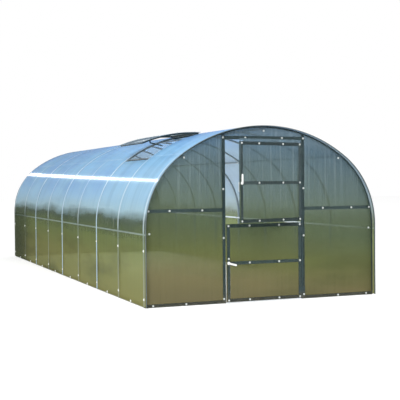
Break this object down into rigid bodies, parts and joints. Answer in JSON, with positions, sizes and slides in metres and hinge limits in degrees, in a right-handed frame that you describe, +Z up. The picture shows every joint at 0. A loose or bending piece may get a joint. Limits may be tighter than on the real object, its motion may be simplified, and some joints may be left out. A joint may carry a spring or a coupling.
{
  "type": "polycarbonate tunnel greenhouse",
  "caption": "Arched walk-in tunnel greenhouse: bent steel hoops, clear polycarbonate sheets, split front door with its upper leaf ajar and a roof vent propped open.",
  "frame": {"origin": "on the ground in the middle of the plan, counted with the upper door leaf standing ajar", "axes": "+X to the right across the front gable, +Y back along the length, +Z up"},
  "size_m": [3, 8.417, 2.0798],
  "materials": {
    "frame_steel": "dark grey-green coating over galvanised steel, dull",
    "cladding": "clear twin-wall polycarbonate with fine flutes, glossy",
    "galvanised_steel": "dull galvanised steel",
    "lever_coat": "off-white coat on the latch levers",
    "fittings": "bright zinc plate"
  },
  "bodies": {
    "tunnel": {"front_base_rails": "frame_steel", "front_hoop": "frame_steel", "front_lintel": "frame_steel", "front_posts": "frame_steel", "front_sheet_left": "cladding", "front_sheet_over_door": "cladding", "front_sheet_right": "cladding", "front_side_rails": "frame_steel", "hoop_1": "galvanised_steel", "hoop_2": "galvanised_steel", "hoop_3": "galvanised_steel", "hoop_4": "galvanised_steel", "hoop_5": "galvanised_steel", "hoop_6": "galvanised_steel", "hoop_7": "galvanised_steel", "left_base_rail": "galvanised_steel", "left_mid_purlin": "galvanised_steel", "left_upper_purlin": "galvanised_steel", "post_hinges": "frame_steel", "rear_base_rails": "frame_steel", "rear_hinges": "frame_steel", "rear_hoop": "frame_steel", "rear_leaf_frames": "frame_steel", "rear_leaf_sheets": "cladding", "rear_lintel": "frame_steel", "rear_posts": "frame_steel", "rear_sheet_left": "cladding", "rear_sheet_over_door": "cladding", "rear_sheet_right": "cladding", "rear_side_rails": "frame_steel", "ridge_purlin": "galvanised_steel", "right_base_rail": "galvanised_steel", "right_mid_purlin": "galvanised_steel", "right_upper_purlin": "galvanised_steel", "roof_sheet_1": "cladding", "roof_sheet_2": "cladding", "roof_sheet_3": "cladding", "roof_sheet_4": "cladding", "vent_hinge_mounts": "fittings", "vent_trimmers": "frame_steel"},
    "upper_leaf": {"upper_leaf_frame": "frame_steel", "upper_leaf_sheet": "cladding", "upper_leaf_hinges": "frame_steel"},
    "lower_leaf": {"lower_leaf_frame": "frame_steel", "lower_leaf_sheet": "cladding", "lower_leaf_hinges": "frame_steel"},
    "upper_latch": {"upper_latch": "lever_coat"},
    "lower_latch": {"lower_latch": "lever_coat"},
    "vent": {"vent_frame": "frame_steel", "vent_sheet": "cladding", "vent_hinges": "fittings"},
    "vent_stay": {"vent_stay": "frame_steel"}
  },
  "joints": [
    {"name": "upper_leaf_hinge", "type": "hinge", "parent": "tunnel", "child": "upper_leaf", "pos_m": [0.494, -3.903, 1.413], "axis": [0, 0, 1], "range_deg": [-17.5, 75]},
    {"name": "lower_leaf_hinge", "type": "hinge", "parent": "tunnel", "child": "lower_leaf", "pos_m": [0.494, -3.903, 0.467], "axis": [0, 0, 1], "range_deg": [0, 92.5]},
    {"name": "upper_latch_turn", "type": "hinge", "parent": "upper_leaf", "child": "upper_latch", "pos_m": [-0.42678, -4.18179, 1.404], "axis": [-0.3007, 0.9537, 0], "range_deg": [0, 90]},
    {"name": "lower_latch_turn", "type": "hinge", "parent": "lower_leaf", "child": "lower_latch", "pos_m": [-0.468, -3.892, 0.467], "axis": [0, 1, 0], "range_deg": [0, 90]},
    {"name": "vent_hinge", "type": "hinge", "parent": "tunnel", "child": "vent", "pos_m": [-0.36745, -2.372, 2.05435], "axis": [0, 1, 0], "range_deg": [-15.6, 20]},
    {"name": "vent_stay_pivot", "type": "hinge", "parent": "vent", "child": "vent_stay", "pos_m": [-1.04624, -2.7995, 1.91657], "axis": [0, 1, 0], "range_deg": [-20, 15.6]}
  ],
  "couplings": [
    {"joint": "vent_stay_pivot", "follows": "vent_hinge", "ratio": -1}
  ]
}
